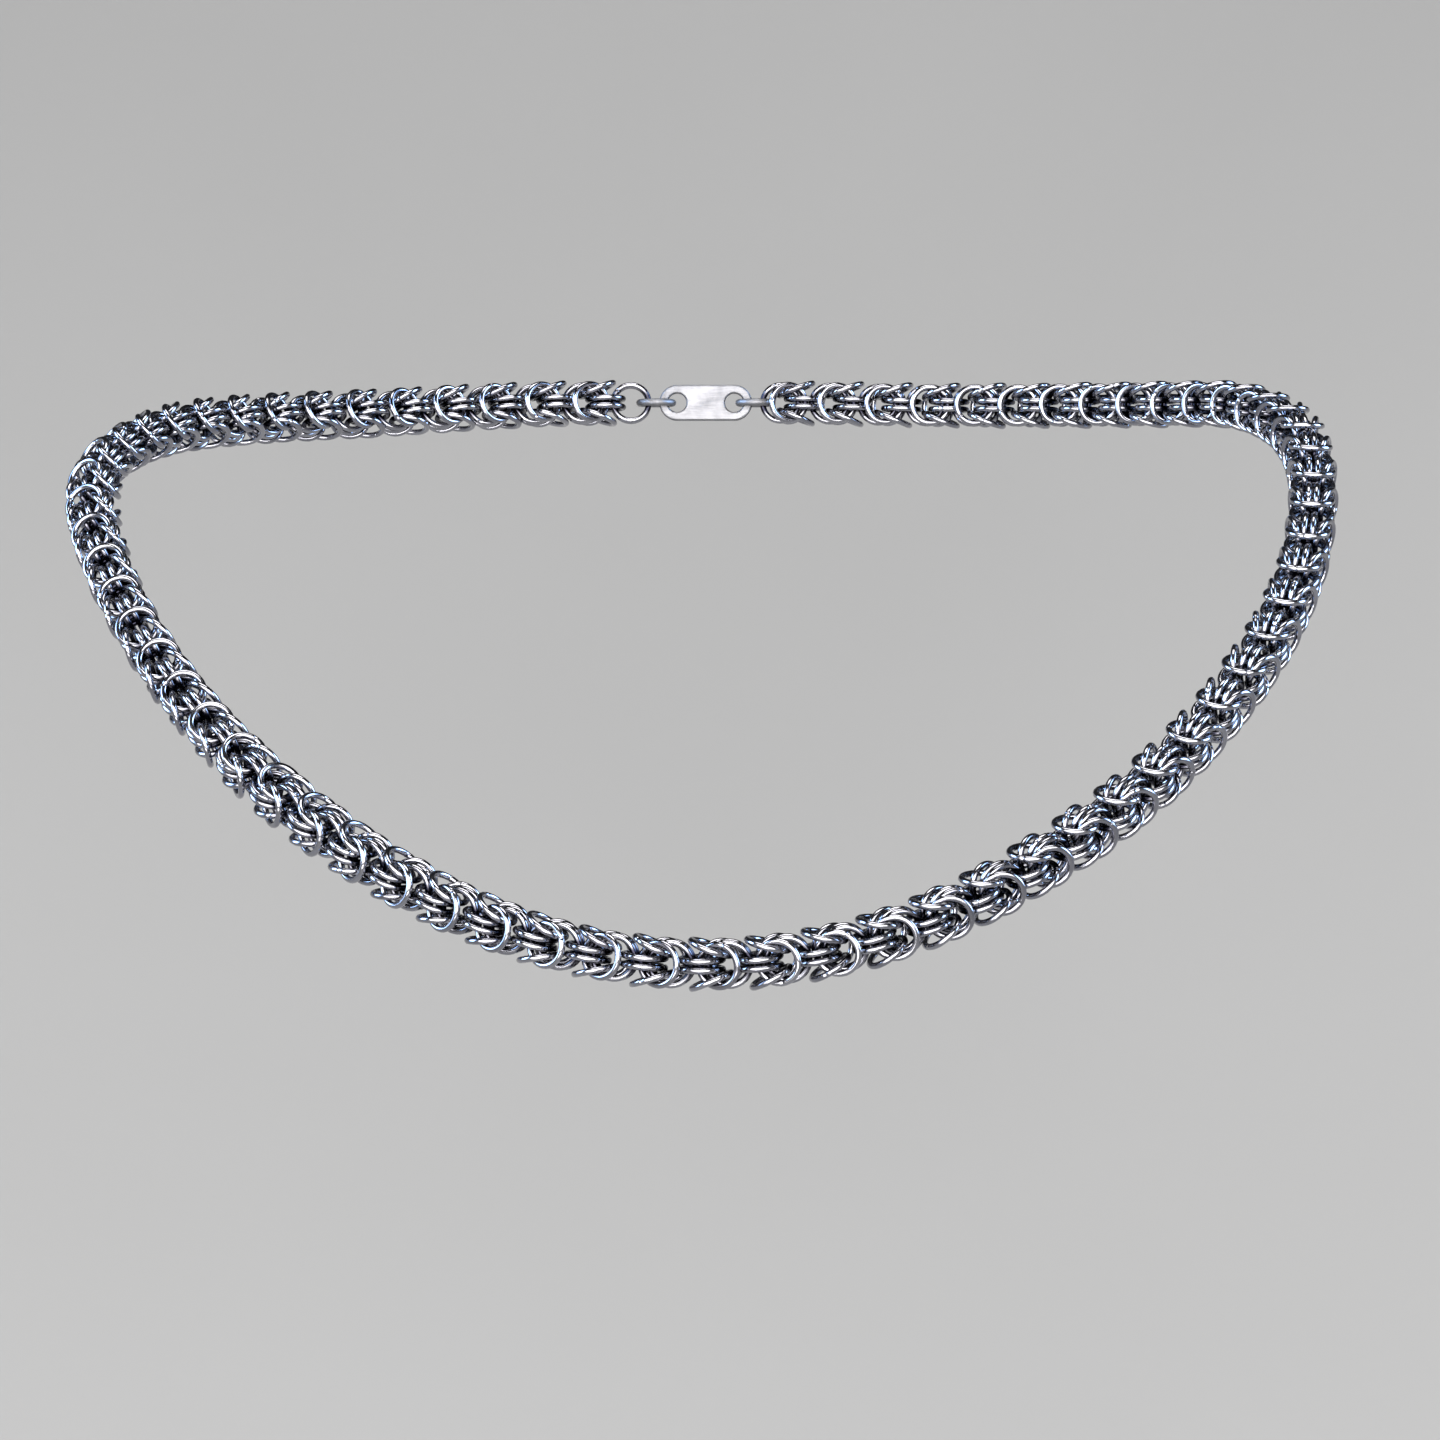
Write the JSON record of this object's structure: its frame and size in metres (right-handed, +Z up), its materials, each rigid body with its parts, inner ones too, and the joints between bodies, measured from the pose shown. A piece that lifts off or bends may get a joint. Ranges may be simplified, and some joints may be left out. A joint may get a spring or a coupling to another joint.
{
  "type": "chainmail necklace",
  "caption": "Round woven chainmail necklace of interlinked polished steel rings, in its worn form, closed at the nape by a plain clasp.",
  "frame": {"origin": "middle of the clasp at the nape, where the worn necklace hangs", "axes": "+Z up, -Y the way the wearer faces, +X towards the wearer's left hand side"},
  "size_m": [0.1639, 0.135, 0.0797],
  "materials": {
    "ring_steel": "polished",
    "clasp_steel": "satin"
  },
  "bodies": {
    "root": {"front_chain": "ring_steel", "left_chain": "ring_steel", "right_chain": "ring_steel", "left_end_links": "ring_steel", "right_end_links": "ring_steel", "left_jump_ring": "clasp_steel", "right_jump_ring": "clasp_steel", "clasp": "clasp_steel"}
  },
  "joints": []
}
